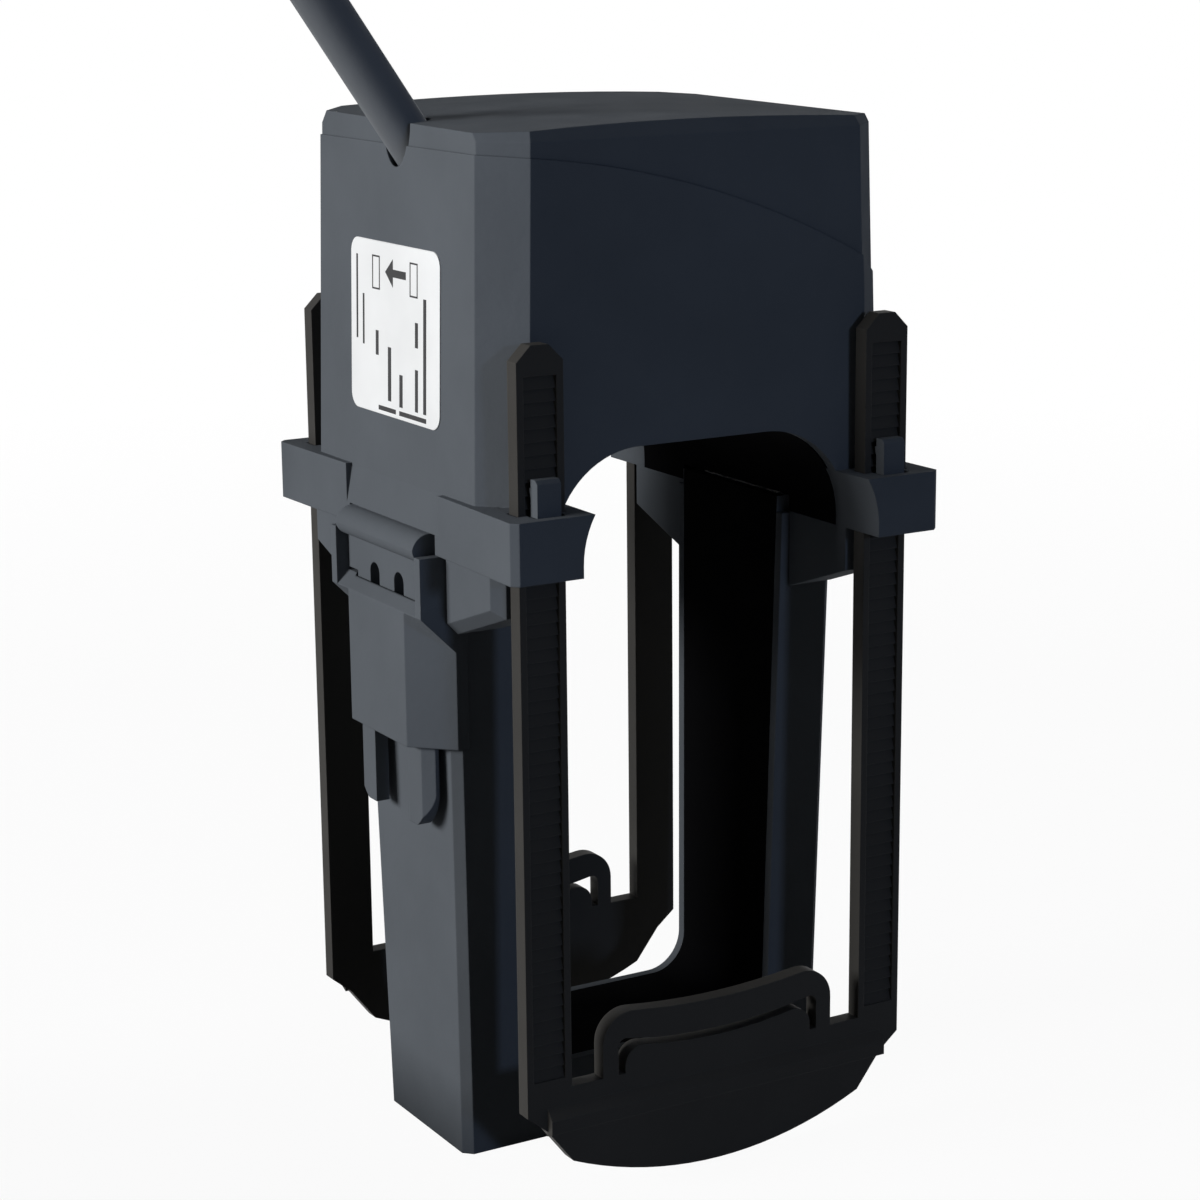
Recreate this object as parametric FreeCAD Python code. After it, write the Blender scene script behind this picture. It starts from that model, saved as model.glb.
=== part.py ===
import FreeCAD, Part
import math
import os

# Split-core current transformer with two toothed clamping frames.
# Origin at the centre of the conductor window, conductor along Y, +Z up, millimetres.
# The upper half holds the winding, the lower half is a U that pulls off downwards.

Vector = FreeCAD.Vector

# Conductor window and the arch above it
window_half_x = 21.0
window_lean = 0.0162
window_floor_z = -43.2
window_corner_r = 5.5
arch_set_back = 1.0
arch_top_z = 43.3
arch_corner_r = 12.5

# Upper housing: a drafted block with cut corners
block_edge_z = 81.5
block_half_y = 26.13
block_draft_x = 0.0268
block_draft_y = 0.0118
block_base_z = 29.3
front_corner = 5.0
back_corner = 3.6
bevel_depth = 1.0
bevel_height = 1.7
crown_top_z = 83.7
crown_sag = 0.9
crown_rise = 0.75
housing_wall = 1.75
cover_thickness = 2.4
cover_step = 0.22
seam_crest_x = -35.6
seam_crest_z = 80.1
seam_radius = 126.9

# Band with the four guide lugs
band_top_z = 37.1
band_step = 2.6
lug_depth = 3.83
lug_corner = 0.9
ledge_end_y = 13.3
ledge_foot_y = 12.4
ledge_foot_z = 31.9
ledge_taper = 0.5

# Guide blocks that reach down beside the legs of the lower half
skirt_inner_y = 13.5
skirt_step_x = 1.15
skirt_step_y = 0.52
skirt_low_z = 18.9
skirt_slope = 0.35
skirt_bevel = 1.5
skirt_wall = 1.7

# Ratchet frames
strap_set_back = 0.4
strap_width = 6.5
strap_gap_y = 1.3
frame_thickness = 2.3
strap_top_z = 57.8
strap_chamfer = 2.0
rail_width = 0.95
tooth_pitch = 1.62
tooth_count = 56
tooth_top_z = 54.0
tooth_crest_depth = 0.3
tooth_floor_depth = 0.9
guide_clearance = 0.25

# Cross plate of a ratchet frame, with its spring loop and its rib
plate_top_z = -38.2
plate_side_z = -41.3
plate_notch_in = 2.9
plate_notch_z = -43.7
plate_corner_in = 6.6
plate_corner_z = -48.5
plate_bottom_z = -53.2
rib_end_in = 2.9
rib_top_z = -41.4
rib_bottom_z = -43.8
rib_proud = 1.1
rib_root_depth = 0.2
loop_half_x = 17.75
loop_leg = 2.3
loop_top_z = -29.0
loop_sag = 1.6
loop_corner_r = 4.2
loop_band = 4.1
loop_slot = 1.05
plate_tongue_r = 2.5

# Pawls in the lugs
pawl_width = 3.3
pawl_thickness = 1.7
pawl_top_z = 41.6
pawl_root_z = 30.9
pawl_gap = 0.5
pawl_tooth_z = 39.2
pawl_tooth_height = 1.3
pawl_tooth_clearance = 0.12

# U casing of the lower half
casing_ref_z = 23.2
casing_step = 0.45
casing_half_y = 13.1
casing_lean_x = 0.0182
casing_lean_y = 0.0208
casing_bottom_z = -53.7
casing_corner = 1.2
casing_floor = 1.5
casing_shoulder_z = 29.0
spigot_top_z = 31.2
spigot_step = 1.3
liner_rim = 1.4
lower_liner_wall = 1.2
arch_liner_wall = 1.0

# Snap tongue on the left side of the upper housing and the boss that takes it
tongue_step = 0.35
tongue_thickness = 1.9
tongue_half_y = 11.3
tongue_shoulder_z = 23.5
prong_half_y = 10.05
prong_inner_y = 4.9
prong_tip_z = -7.7
prong_edge_z = -1.4
prong_tip_y = 7.2
prong_chamfer = 1.4
prong_curve_in = 0.7
prong_curve_drop = 4.0
middle_leg_half_y = 2.15
middle_leg_z = 9.0
slot_top_z = 25.5
lip_step = 2.2
lip_root_z = 37.6
lip_top_z = 31.9
lip_belly_z = 29.9
lip_low_z = 28.0
lip_upper_in = 0.6
lip_upper_drop = 0.8
lip_lower_in = 0.5
lip_lower_rise = 0.7
lip_root_depth = 0.1
tongue_clearance = 0.28
boss_step = 2.1
boss_bottom_z = 3.4
boss_top_z = 21.3
boss_half_y = 13.1
boss_chamfer = 4.95
ear_inner_y = 11.55
ear_top_z = 29.15

# Cores, winding and springs
core_liner_gap = 0.9
core_side_room = 0.6
core_thickness = 3.7
core_half_y = 9.8
core_corner_r = 4.5
core_joint_z = 31.0
upper_bar_z = 56.0
lower_bar_top_z = -47.1
core_clearance = 0.3
bobbin_half_x = 19.0
bobbin_wall = 1.2
flange_thickness = 1.5
flange_seat = 0.2
flange_half_y = 21.2
winding_height = 8.7
winding_corner_r = 4.0
tape_thickness = 0.3
spring_half_length = 6.0
spring_half_y = 4.0
spring_thickness = 0.35
spring_x = 12.0

# Rating label
label_centre_y = 0.2
label_centre_z = 56.2
label_half_y = 12.7
label_half_z = 11.2
label_corner_r = 2.0
label_thickness = 0.15

# Output cable
cable_diameter = 6.2
cable_hole_r = 3.6
cable_exit_in = 0.75
cable_exit_z = 82.3
cable_tilt_deg = 34.3
cable_inner_length = 11.0
cable_rise = 37.0
tie_radial = 1.3
tie_width = 2.5
tie_head = 3.4
tie_end_gap = 0.3
lead_radius = 0.75
lead_offset_y = 1.4
lead_straight = 2.0
coil_x = -133.5
coil_y = 10.3
coil_mean_r = 35.0
coil_turns_wide = 3
coil_layers = 4
tail_start_x = -119.0
tail_length = 12.0
end_core_r = 1.3
end_core_length = 22.0
end_core_splay = 2.0
end_core_gap = 0.1
ferrule_r = 0.85
ferrule_length = 8.0
route_radius_share = 0.45

# Depth by which a cutting shape reaches past the surface that it opens
overcut = 1.0

core_inner_x = window_half_x + lower_liner_wall + core_liner_gap
core_outer_x = core_inner_x + core_thickness
block_half_x = core_outer_x + core_side_room + housing_wall
arch_half_x = window_half_x + arch_set_back
band_half_x = block_half_x + band_step
skirt_half_x = block_half_x + skirt_step_x
skirt_half_y = block_half_y + skirt_step_y
casing_half_x = block_half_x + casing_step
tongue_outer_x = band_half_x + tongue_step
tongue_inner_x = tongue_outer_x - tongue_thickness
lip_outer_x = band_half_x + lip_step
boss_outer_x = band_half_x + boss_step
strap_inner_x = arch_half_x + strap_set_back
strap_outer_x = strap_inner_x + strap_width
strap_mid_x = strap_inner_x + strap_width / 2
strap_inner_y = skirt_half_y + strap_gap_y
strap_outer_y = strap_inner_y + frame_thickness
lug_half_y = strap_outer_y + lug_depth
plate_notch_x = strap_outer_x - plate_notch_in
plate_corner_x = strap_outer_x - plate_corner_in
rib_half_x = strap_outer_x - rib_end_in
cable_exit_x = cable_exit_in - block_half_x
cable_r = cable_diameter / 2
coil_outer_r = coil_mean_r + coil_turns_wide * cable_r
coil_inner_r = coil_mean_r - coil_turns_wide * cable_r
coil_height = coil_layers * cable_diameter
outer_turn_r = coil_outer_r - cable_r
floor_z = casing_bottom_z
tail_y = coil_y + outer_turn_r

parts = {}


def box(x0, x1, y0, y1, z0, z1):
    return Part.makeBox(x1 - x0, y1 - y0, z1 - z0, Vector(x0, y0, z0))


def flip_x(shape):
    return shape.mirror(Vector(0, 0, 0), Vector(1, 0, 0))


def flip_y(shape):
    return shape.mirror(Vector(0, 0, 0), Vector(0, 1, 0))


def both_x(shape):
    return shape.fuse(flip_x(shape))


def both_y(shape):
    return shape.fuse(flip_y(shape))


def line(a, b):
    return Part.LineSegment(a, b).toShape()


def arc(a, middle, b):
    return Part.Arc(a, middle, b).toShape()


def polygon(points):
    return Part.Face(Part.makePolygon(points + [points[0]]))


def prism_xz(points, y0, y1):
    """A flat outline in X and Z, given depth along Y."""
    corners = [Vector(x, y0, z) for x, z in points]
    return polygon(corners).extrude(Vector(0, y1 - y0, 0))


def prism_yz(points, x0, x1):
    """A flat outline in Y and Z, given depth along X."""
    corners = [Vector(x0, y, z) for y, z in points]
    return polygon(corners).extrude(Vector(x1 - x0, 0, 0))


def prism_xy(points, z0, z1):
    """A flat outline in X and Y, given depth along Z."""
    corners = [Vector(x, y, z0) for x, y in points]
    return polygon(corners).extrude(Vector(0, 0, z1 - z0))


def round_edges(shape, radius, wanted):
    """Fillets the edges whose middle point passes the test."""
    edges = [edge for edge in shape.Edges if wanted(edge.CenterOfMass)]
    return shape.makeFillet(radius, edges)


def block_outline(z, inset, bevel=0.0):
    """The housing's outline at height z; a bevel pulls in all but the two narrow sides."""
    half_x = block_half_x + (block_edge_z - z) * block_draft_x - inset
    half_y = block_half_y + (block_edge_z - z) * block_draft_y - inset - bevel
    cut = (math.sqrt(2) - 1) * bevel - (2 - math.sqrt(2)) * inset
    front = front_corner + cut
    back = back_corner + cut
    points = [
        (-half_x + front, -half_y),
        (half_x - front, -half_y),
        (half_x, -half_y + front),
        (half_x, half_y - back),
        (half_x - back, half_y),
        (-half_x + back, half_y),
        (-half_x, half_y - back),
        (-half_x, -half_y + front),
    ]
    corners = [Vector(x, y, z) for x, y in points]
    return Part.makePolygon(corners + [corners[0]])


def block(z0, z1, inset):
    return Part.makeLoft([block_outline(z0, inset), block_outline(z1, inset)], True, True)


def block_roof(inset):
    """The bevelled top of the housing, cut off by the gently crowned top face."""
    high_z = block_edge_z + 2 * bevel_height
    low = block_outline(block_edge_z, inset)
    high = block_outline(high_z, inset, 2 * bevel_depth)
    roof = Part.makeLoft([low, high], True, True)
    reach_x = 2 * block_half_x
    reach_y = 2 * block_half_y
    side_z = crown_top_z - crown_sag * (reach_x / block_half_x) ** 2
    rise = crown_rise * reach_y / block_half_y
    left = Vector(-reach_x, -reach_y, side_z - rise / 2)
    right = Vector(reach_x, -reach_y, side_z - rise / 2)
    top = Vector(0, -reach_y, crown_top_z - rise / 2)
    low_left = Vector(-reach_x, -reach_y, 0)
    low_right = Vector(reach_x, -reach_y, 0)
    edges = [
        arc(left, top, right),
        line(right, low_right),
        line(low_right, low_left),
        line(low_left, left),
    ]
    crown = Part.Face(Part.Wire(edges)).extrude(Vector(0, 2 * reach_y, rise))
    return roof.common(crown)


def above_seam():
    """The space above the curved parting line between housing and cover."""
    reach = 2 * block_half_x
    high_z = block_edge_z + reach

    def seam_z(x):
        drop = seam_radius - math.sqrt(seam_radius**2 - (x - seam_crest_x) ** 2)
        return seam_crest_z - drop

    left = Vector(-reach, -reach, seam_z(-reach))
    middle = Vector(0, -reach, seam_z(0))
    right = Vector(reach, -reach, seam_z(reach))
    high_right = Vector(reach, -reach, high_z)
    high_left = Vector(-reach, -reach, high_z)
    edges = [
        arc(left, middle, right),
        line(right, high_right),
        line(high_right, high_left),
        line(high_left, left),
    ]
    return Part.Face(Part.Wire(edges)).extrude(Vector(0, 2 * reach, 0))


def arch(grow, base_z, half_y):
    """The tunnel of the arch, wider all round by grow."""
    half_x = arch_half_x + grow
    top_z = arch_top_z + grow
    radius = arch_corner_r + grow
    shoulder_z = top_z - radius
    diagonal = radius * math.sqrt(0.5)

    def at(x, z):
        return Vector(x, -half_y, z)

    right = arc(
        at(half_x, shoulder_z),
        at(half_x - radius + diagonal, shoulder_z + diagonal),
        at(half_x - radius, top_z),
    )
    left = arc(
        at(radius - half_x, top_z),
        at(radius - half_x - diagonal, shoulder_z + diagonal),
        at(-half_x, shoulder_z),
    )
    edges = [
        line(at(half_x, base_z), at(half_x, shoulder_z)),
        right,
        line(at(half_x - radius, top_z), at(radius - half_x, top_z)),
        left,
        line(at(-half_x, shoulder_z), at(-half_x, base_z)),
        line(at(-half_x, base_z), at(half_x, base_z)),
    ]
    return Part.Face(Part.Wire(edges)).extrude(Vector(0, 2 * half_y, 0))


def window(grow, top_z, half_y):
    """The U-shaped window of the lower half, wider all round by grow."""
    floor_level = window_floor_z - grow
    top_half = window_half_x + grow + (top_z - core_joint_z) * window_lean
    floor_half = window_half_x + grow - (core_joint_z - floor_level) * window_lean
    points = [
        (-top_half, top_z),
        (top_half, top_z),
        (floor_half, floor_level),
        (-floor_half, floor_level),
    ]

    def at_floor_corner(point):
        return abs(point.z - floor_level) < 0.01 and abs(point.x) > 1

    return round_edges(prism_xz(points, -half_y, half_y), window_corner_r + grow, at_floor_corner)


def cable_cylinder(radius, start, length):
    """A cylinder on the cable's straight exit line, start counted from the exit hole."""
    tilt = math.radians(cable_tilt_deg)
    direction = Vector(-math.sin(tilt), 0, math.cos(tilt))
    base = Vector(cable_exit_x, 0, cable_exit_z) + direction * start
    return Part.makeCylinder(radius, length, base, direction)


def interior():
    """The hollow of the upper housing and its cover."""
    return block(block_base_z - overcut, block_edge_z + bevel_height - cover_thickness, housing_wall)


def skirt_block():
    """One guide block: a slanted hollow box beside the leg, open upwards."""
    low_back_z = skirt_low_z + skirt_slope * (skirt_half_y - skirt_inner_y)
    outline = [
        (skirt_inner_y, skirt_low_z),
        (skirt_half_y, low_back_z),
        (skirt_half_y, block_base_z),
        (skirt_inner_y, block_base_z),
    ]
    solid = prism_yz(outline, arch_half_x, skirt_half_x)

    def bevelled(edge):
        middle = edge.CenterOfMass
        outer_upright = abs(middle.y - skirt_half_y) < 0.01 and abs(middle.x - skirt_half_x) < 0.01
        outer_low = abs(middle.x - skirt_half_x) < 0.01 and middle.z < low_back_z
        return outer_upright or outer_low

    solid = solid.makeChamfer(skirt_bevel, [edge for edge in solid.Edges if bevelled(edge)])
    hollow_low_z = skirt_low_z + skirt_wall * (1 + skirt_slope)
    hollow_rise = skirt_slope * (skirt_half_y - skirt_inner_y - 2 * skirt_wall)
    hollow = [
        (skirt_inner_y + skirt_wall, hollow_low_z),
        (skirt_half_y - skirt_wall, hollow_low_z + hollow_rise),
        (skirt_half_y - skirt_wall, block_base_z),
        (skirt_inner_y + skirt_wall, block_base_z),
    ]
    return solid.cut(prism_yz(hollow, arch_half_x + skirt_wall, skirt_half_x - skirt_wall))


def lug():
    """One guide lug with its strap slot and the springy pawl behind the strap's teeth."""
    wall_y = block_half_y - housing_wall
    ledge_inner_x = block_half_x - housing_wall / 2
    ledge_outer_x = band_half_x - ledge_taper
    outline = [
        (arch_half_x - arch_corner_r, wall_y),
        (ledge_inner_x, wall_y),
        (ledge_inner_x, ledge_end_y),
        (ledge_outer_x, ledge_end_y),
        (band_half_x, lug_half_y - lug_corner),
        (band_half_x - lug_corner, lug_half_y),
        (arch_half_x - arch_corner_r, lug_half_y),
    ]
    solid = prism_xy(outline, block_base_z, band_top_z)
    foot = box(
        ledge_inner_x,
        ledge_outer_x,
        ledge_foot_y,
        ledge_end_y,
        block_base_z,
        ledge_foot_z,
    )
    solid = solid.fuse(foot)
    slot = box(
        strap_inner_x - guide_clearance,
        strap_outer_x + guide_clearance,
        strap_inner_y - guide_clearance,
        strap_outer_y + guide_clearance,
        block_base_z - overcut,
        band_top_z + overcut,
    )
    pawl_inner_y = strap_outer_y + guide_clearance
    pawl_outer_y = pawl_inner_y + pawl_thickness
    half_width = pawl_width / 2
    pocket = box(
        strap_mid_x - half_width - pawl_gap,
        strap_mid_x + half_width + pawl_gap,
        pawl_inner_y - pawl_gap / 2,
        pawl_outer_y + pawl_gap,
        pawl_root_z,
        band_top_z + overcut,
    )
    arm = [
        (pawl_inner_y, block_base_z),
        (pawl_outer_y, block_base_z),
        (pawl_outer_y, pawl_top_z - pawl_gap),
        (pawl_outer_y - pawl_gap, pawl_top_z),
        (pawl_inner_y, pawl_top_z),
    ]
    pawl = prism_yz(arm, strap_mid_x - half_width, strap_mid_x + half_width)
    crest_y = strap_outer_y - tooth_crest_depth + pawl_tooth_clearance
    tooth = [
        (pawl_inner_y, pawl_tooth_z),
        (crest_y, pawl_tooth_z + pawl_tooth_height),
        (pawl_inner_y, pawl_tooth_z + pawl_tooth_height),
    ]
    pawl = pawl.fuse(prism_yz(tooth, strap_mid_x - half_width, strap_mid_x + half_width))
    return solid.cut(slot).cut(pocket).fuse(pawl)


def prong_section(grow, half_y):
    """Half of the tongue's section in X and Y: flat, with its outer corner cut off."""
    inner_x = tongue_inner_x - grow
    outer_x = tongue_outer_x + grow
    edge_y = half_y + grow
    cut = prong_chamfer + (2 - math.sqrt(2)) * grow
    return [
        (inner_x, 0),
        (outer_x, 0),
        (outer_x, edge_y - cut),
        (outer_x - cut, edge_y),
        (inner_x, edge_y),
    ]


def prong_shaving():
    """What is cut off a prong's outer edge, so that it curves in towards its tip."""
    face_x = tongue_inner_x - overcut
    outside = prong_half_y + overcut
    below = prong_tip_z - overcut

    def at(y, z):
        return Vector(face_x, y, z)

    curve = arc(
        at(prong_half_y, prong_edge_z),
        at(prong_half_y - prong_curve_in, prong_edge_z - prong_curve_drop),
        at(prong_tip_y, prong_tip_z),
    )
    edges = [
        curve,
        line(at(prong_tip_y, prong_tip_z), at(prong_tip_y, below)),
        line(at(prong_tip_y, below), at(outside, below)),
        line(at(outside, below), at(outside, prong_edge_z)),
        line(at(outside, prong_edge_z), at(prong_half_y, prong_edge_z)),
    ]
    return Part.Face(Part.Wire(edges)).extrude(Vector(tongue_thickness + 2 * overcut, 0, 0))


def tongue_slope():
    """The band's middle part, which slopes out from the housing's side to the tongue's lip."""
    root_x = block_half_x + (block_edge_z - lip_root_z) * block_draft_x - lip_root_depth
    outline = [
        (block_half_x, lip_top_z),
        (band_half_x - ledge_taper, lip_top_z),
        (root_x, lip_root_z),
        (block_half_x, lip_root_z),
    ]
    return prism_xz(outline, -ledge_end_y, ledge_end_y)


def lip_profile():
    """Side view of the tongue's upper part: a rounded lip below the band."""

    def at(x, z):
        return Vector(x, -tongue_half_y, z)

    upper = arc(
        at(band_half_x - ledge_taper, lip_top_z),
        at(lip_outer_x - lip_upper_in, lip_top_z - lip_upper_drop),
        at(lip_outer_x, lip_belly_z),
    )
    lower = arc(
        at(lip_outer_x, lip_belly_z),
        at(lip_outer_x - lip_lower_in, lip_low_z + lip_lower_rise),
        at(tongue_outer_x, lip_low_z),
    )
    points = [
        at(tongue_outer_x, lip_low_z),
        at(tongue_outer_x, tongue_shoulder_z),
        at(tongue_inner_x, tongue_shoulder_z),
        at(tongue_inner_x, block_base_z),
        at(block_half_x, block_base_z),
        at(block_half_x, lip_top_z),
        at(band_half_x - ledge_taper, lip_top_z),
    ]
    runs = [line(a, b) for a, b in zip(points[:-1], points[1:])]
    return Part.Face(Part.Wire([upper, lower] + runs))


def snap_tongue():
    """The springy tongue that holds the lower half: rounded lip, wide plate, two slots and two prongs."""
    through_x = tongue_inner_x - overcut
    outside_x = tongue_outer_x + overcut
    half = prism_xy(prong_section(0, prong_half_y), prong_tip_z, tongue_shoulder_z + overcut)
    between = box(
        through_x,
        outside_x,
        -prong_inner_y,
        prong_inner_y,
        prong_tip_z - overcut,
        middle_leg_z,
    )
    narrow = both_y(half).cut(between).cut(both_y(prong_shaving()))
    plate = lip_profile().extrude(Vector(0, 2 * tongue_half_y, 0))
    slot_half = (prong_inner_y - middle_leg_half_y) / 2
    slot_y = middle_leg_half_y + slot_half
    round_z = slot_top_z - slot_half
    slot = box(
        through_x,
        outside_x,
        middle_leg_half_y,
        prong_inner_y,
        middle_leg_z - overcut,
        round_z,
    )
    crown = Part.makeCylinder(
        slot_half,
        outside_x - through_x,
        Vector(through_x, slot_y, round_z),
        Vector(1, 0, 0),
    )
    return plate.fuse(narrow).cut(both_y(slot.fuse(crown))).fuse(tongue_slope())


def make_upper_housing():
    shell = block(block_base_z, block_edge_z, 0)
    shell = shell.cut(interior())
    shell = shell.cut(above_seam())
    guides = both_y(lug()).fuse(both_y(skirt_block()))
    housing = shell.fuse(both_x(guides)).fuse(flip_x(snap_tongue()))
    housing = housing.cut(arch(0, casing_bottom_z, 2 * lug_half_y))
    housing = housing.cut(cable_cylinder(cable_hole_r, -3 * cable_diameter, 6 * cable_diameter))
    parts["upper_housing"] = housing.removeSplitter()


def make_top_cover():
    low_z = block_edge_z - block_half_x
    cap = block(low_z, block_edge_z, cover_step).fuse(block_roof(cover_step))
    cap = cap.common(above_seam())
    cap = cap.cut(interior())
    cap = cap.cut(cable_cylinder(cable_hole_r, -3 * cable_diameter, 6 * cable_diameter))
    parts["top_cover"] = cap.removeSplitter()


def make_rating_label():
    sticker = block(label_centre_z - 2 * label_half_z, label_centre_z + 2 * label_half_z, -label_thickness)
    sticker = sticker.cut(block(block_base_z, block_edge_z, 0))
    plate = box(
        -2 * block_half_x,
        0,
        label_centre_y - label_half_y,
        label_centre_y + label_half_y,
        label_centre_z - label_half_z,
        label_centre_z + label_half_z,
    )

    def at_label_corner(point):
        at_end = abs(abs(point.y - label_centre_y) - label_half_y) < 0.01
        return at_end and abs(abs(point.z - label_centre_z) - label_half_z) < 0.01

    parts["rating_label"] = sticker.common(round_edges(plate, label_corner_r, at_label_corner))


def make_arch_liner():
    half_y = block_half_y - housing_wall
    lining = arch(arch_liner_wall, block_base_z, half_y)
    lining = lining.cut(arch(0, block_base_z - overcut, half_y + overcut))
    leg_room = box(
        -band_half_x,
        band_half_x,
        -casing_half_y - core_clearance,
        casing_half_y + core_clearance,
        block_base_z - overcut,
        spigot_top_z + core_clearance,
    )
    parts["arch_liner"] = lining.cut(leg_room)


def casing_outline(z, inset):
    half_x = casing_half_x + (z - casing_ref_z) * casing_lean_x - inset
    half_y = casing_half_y + (z - casing_ref_z) * casing_lean_y - inset
    points = [
        (-half_x + casing_corner, -half_y),
        (half_x - casing_corner, -half_y),
        (half_x, -half_y + casing_corner),
        (half_x, half_y - casing_corner),
        (half_x - casing_corner, half_y),
        (-half_x + casing_corner, half_y),
        (-half_x, half_y - casing_corner),
        (-half_x, -half_y + casing_corner),
    ]
    corners = [Vector(x, y, z) for x, y in points]
    return Part.makePolygon(corners + [corners[0]])


def casing_block(z0, z1, inset):
    return Part.makeLoft([casing_outline(z0, inset), casing_outline(z1, inset)], True, True)


def lower_liner_space():
    """The black lining of the window, set between the casing's front and back rims."""
    strip = window(lower_liner_wall, spigot_top_z, casing_half_y)
    strip = strip.cut(window(0, spigot_top_z + overcut, casing_half_y + overcut))
    low_z = window_floor_z - 2 * lower_liner_wall
    return strip.common(casing_block(low_z, spigot_top_z, liner_rim))


def u_core(outer_x, inner_x, bar_outer_z, bar_inner_z, joint_z, half_y, corner_r):
    """A U of strip steel, upright or hanging, whose legs end at the joint."""
    outer_low = min(joint_z, bar_outer_z)
    outer_high = max(joint_z, bar_outer_z)
    inner_low = min(joint_z, bar_inner_z)
    inner_high = max(joint_z, bar_inner_z)

    def at_bar_corner(point):
        return abs(point.z - bar_outer_z) < 0.01 and abs(point.x) > 1

    outer = box(-outer_x, outer_x, -half_y, half_y, outer_low, outer_high)
    outer = round_edges(outer, corner_r, at_bar_corner)
    inside = box(-inner_x, inner_x, -half_y - overcut, half_y + overcut, inner_low, inner_high)
    return outer.cut(inside)


def snap_boss():
    """The boss that takes the tongue: a chamfered tunnel block with two ears above it."""
    leg_x = casing_half_x - 2 * casing_corner
    foot_x = boss_outer_x - boss_chamfer
    half_y = boss_half_y
    lower = prism_xy(
        [
            (leg_x, -half_y),
            (foot_x, -half_y),
            (boss_outer_x, -half_y + boss_chamfer),
            (boss_outer_x, half_y - boss_chamfer),
            (foot_x, half_y),
            (leg_x, half_y),
        ],
        boss_bottom_z,
        boss_top_z,
    )
    upper = prism_xz(
        [
            (leg_x, boss_top_z - boss_chamfer),
            (foot_x, boss_top_z - boss_chamfer),
            (boss_outer_x, boss_top_z),
            (boss_outer_x, ear_top_z),
            (leg_x, ear_top_z),
        ],
        -half_y,
        half_y,
    )
    tunnel_inner_x = tongue_inner_x - tongue_clearance
    bevel_top_z = boss_top_z + boss_outer_x - tongue_outer_x
    pocket = prism_xz(
        [
            (tunnel_inner_x, ear_top_z + overcut),
            (tunnel_inner_x, bevel_top_z),
            (tongue_outer_x, bevel_top_z),
            (boss_outer_x + overcut, boss_top_z - overcut),
            (boss_outer_x + overcut, ear_top_z + overcut),
        ],
        -ear_inner_y,
        ear_inner_y,
    )
    section = prong_section(tongue_clearance, prong_half_y)
    tunnel = prism_xy(section, boss_bottom_z - overcut, ear_top_z + overcut)
    return lower.fuse(upper).cut(pocket).cut(both_y(tunnel))


def make_lower_casing():
    casing = casing_block(casing_bottom_z, casing_shoulder_z, 0)
    casing = casing.fuse(casing_block(casing_shoulder_z, spigot_top_z, spigot_step))
    casing = casing.fuse(flip_x(snap_boss()))
    casing = casing.cut(window(0, spigot_top_z + overcut, 2 * casing_half_y))
    casing = casing.cut(lower_liner_space())
    channel = u_core(
        core_outer_x + core_clearance,
        window_half_x - window_corner_r,
        casing_bottom_z + casing_floor,
        window_floor_z,
        spigot_top_z + overcut,
        core_half_y + core_clearance,
        core_corner_r,
    )
    parts["lower_casing"] = casing.cut(channel).removeSplitter()


def make_lower_liner():
    parts["lower_liner"] = lower_liner_space()


def make_cores():
    parts["lower_core"] = u_core(
        core_outer_x,
        core_inner_x,
        lower_bar_top_z - core_thickness,
        lower_bar_top_z,
        core_joint_z,
        core_half_y,
        core_corner_r,
    )
    parts["upper_core"] = u_core(
        core_outer_x,
        core_inner_x,
        upper_bar_z + core_thickness,
        upper_bar_z,
        core_joint_z,
        core_half_y,
        core_corner_r,
    )


def ring_x(half_x, inner_half_y, inner_half_z, outer_half_y, outer_half_z, corner_r):
    """A rectangular ring around the core's bar, with rounded outer corners."""
    centre_z = upper_bar_z + core_thickness / 2

    def at_ring_corner(point):
        at_side = abs(abs(point.y) - outer_half_y) < 0.01
        return at_side and abs(abs(point.z - centre_z) - outer_half_z) < 0.01

    outer = box(
        -half_x,
        half_x,
        -outer_half_y,
        outer_half_y,
        centre_z - outer_half_z,
        centre_z + outer_half_z,
    )
    hole = box(
        -half_x - overcut,
        half_x + overcut,
        -inner_half_y,
        inner_half_y,
        centre_z - inner_half_z,
        centre_z + inner_half_z,
    )
    return round_edges(outer, corner_r, at_ring_corner).cut(hole)


def make_winding():
    centre_z = upper_bar_z + core_thickness / 2
    hole_y = core_half_y + core_clearance
    hole_z = core_thickness / 2 + core_clearance
    tube_y = hole_y + bobbin_wall
    tube_z = hole_z + bobbin_wall
    flange_z = centre_z - arch_top_z - arch_liner_wall - flange_seat
    tube = ring_x(bobbin_half_x, hole_y, hole_z, tube_y, tube_z, bobbin_wall / 2)
    flange = ring_x(flange_thickness / 2, hole_y, hole_z, flange_half_y, flange_z, winding_corner_r)
    flange_x = bobbin_half_x - flange_thickness / 2
    for side in (-1, 1):
        tube = tube.fuse(flange.translated(Vector(side * flange_x, 0, 0)))
    parts["winding_bobbin"] = tube.removeSplitter()
    wound_x = bobbin_half_x - flange_thickness
    wound_y = tube_y + winding_height
    wound_z = tube_z + winding_height
    parts["secondary_winding"] = ring_x(wound_x, tube_y, tube_z, wound_y, wound_z, winding_corner_r)
    parts["winding_tape"] = tape_ring(wound_x, wound_y, wound_z)


def tape_ring(half_x, wound_y, wound_z):
    """Insulating tape laid round the finished winding."""
    hole_y = wound_y - winding_corner_r
    hole_z = wound_z - winding_corner_r
    outer_r = winding_corner_r + tape_thickness
    taped = ring_x(half_x, hole_y, hole_z, wound_y + tape_thickness, wound_z + tape_thickness, outer_r)
    wound = ring_x(half_x + overcut, hole_y, hole_z, wound_y, wound_z, winding_corner_r)
    return taped.cut(wound)


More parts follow.
